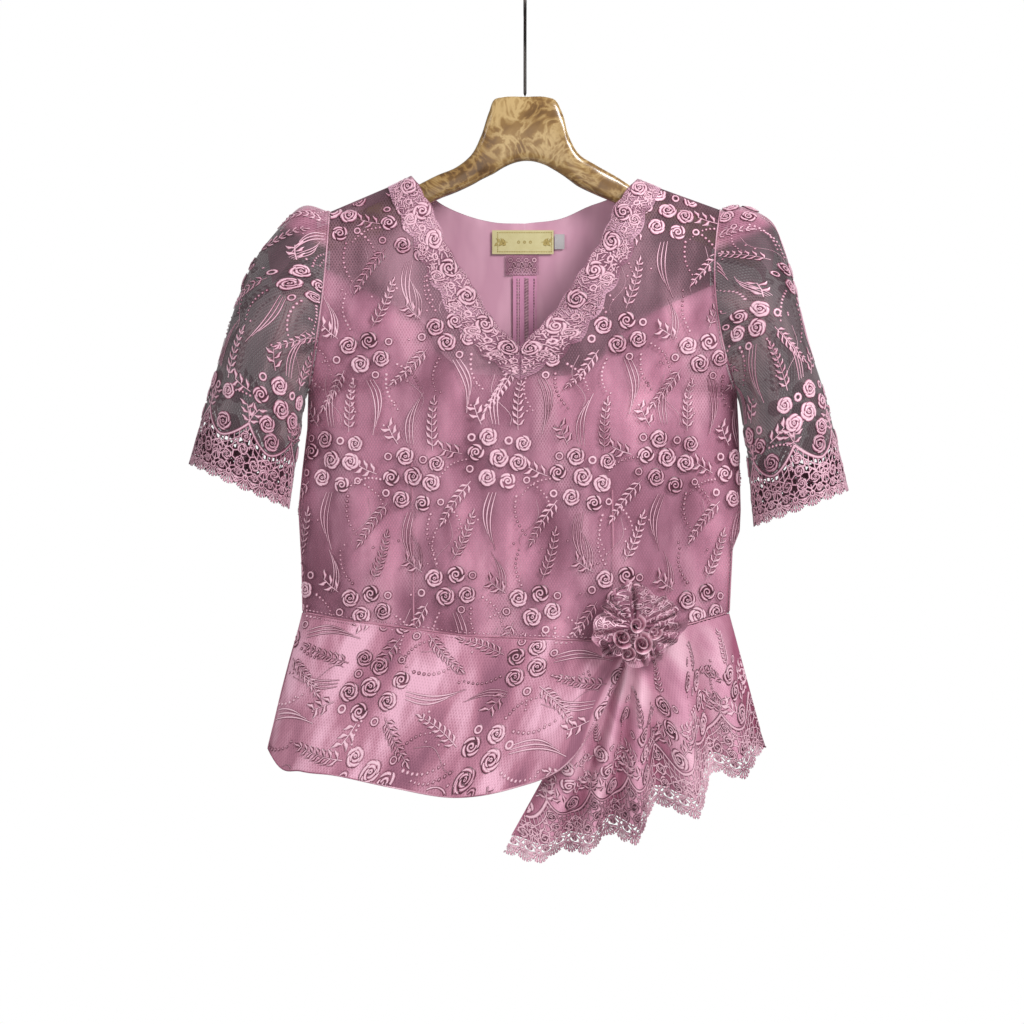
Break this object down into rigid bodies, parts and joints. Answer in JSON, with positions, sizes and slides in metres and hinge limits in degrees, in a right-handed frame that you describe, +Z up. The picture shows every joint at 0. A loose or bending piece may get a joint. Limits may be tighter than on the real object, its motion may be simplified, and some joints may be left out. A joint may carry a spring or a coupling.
{
  "type": "lace blouse on a hanger",
  "caption": "Short-sleeved embroidered lace blouse with a draped peplum and a corsage, hung on a broad moulded hanger.",
  "frame": {"origin": "inside top of the hanger's hook, where a rail carries it", "axes": "+Z up, the blouse's front faces -Y, +X to the right as the picture shows it"},
  "size_m": [0.655, 0.1317, 0.876],
  "materials": {
    "lace": "embroidered net in raised rayon thread, open lace at the edges",
    "satin": "smooth satin lining",
    "tape": "woven zip tape",
    "zip_metal": "lacquered to match the cloth",
    "label": "woven, bare, with a raised border",
    "size_tag": "plain satin tape",
    "hanger": "moulded, marbled amber, polished",
    "hook_wire": "dark drawn wire"
  },
  "bodies": {
    "blouse": {"front_bodice": "lace", "front_lining": "satin", "back_left": "lace", "back_right": "lace", "back_lining_left": "satin", "back_lining_right": "satin", "peplum_front": "lace", "peplum_drape": "lace", "peplum_back": "lace", "sleeve_left_front": "lace", "sleeve_left_back": "lace", "sleeve_right_front": "lace", "sleeve_right_back": "lace", "sleeve_head_left": "satin", "sleeve_head_right": "satin", "neck_trim_left": "lace", "neck_trim_right": "lace", "back_stay": "lace", "zip_tape": "tape", "zip_slider": "zip_metal", "label": "label", "size_tag": "size_tag", "corsage_petal_upper": "lace", "corsage_petal_left": "lace", "corsage_petal_lower": "lace", "corsage_knot": "lace", "hanger": "hanger", "hook": "hook_wire"},
    "pull_tab": {"zip_pull_tab": "zip_metal"}
  },
  "joints": [
    {"name": "pull_tab_hinge", "type": "hinge", "parent": "blouse", "child": "pull_tab", "pos_m": [0, 0.03385, -0.247], "axis": [1, 0, 0], "range_deg": [0, 150]}
  ]
}
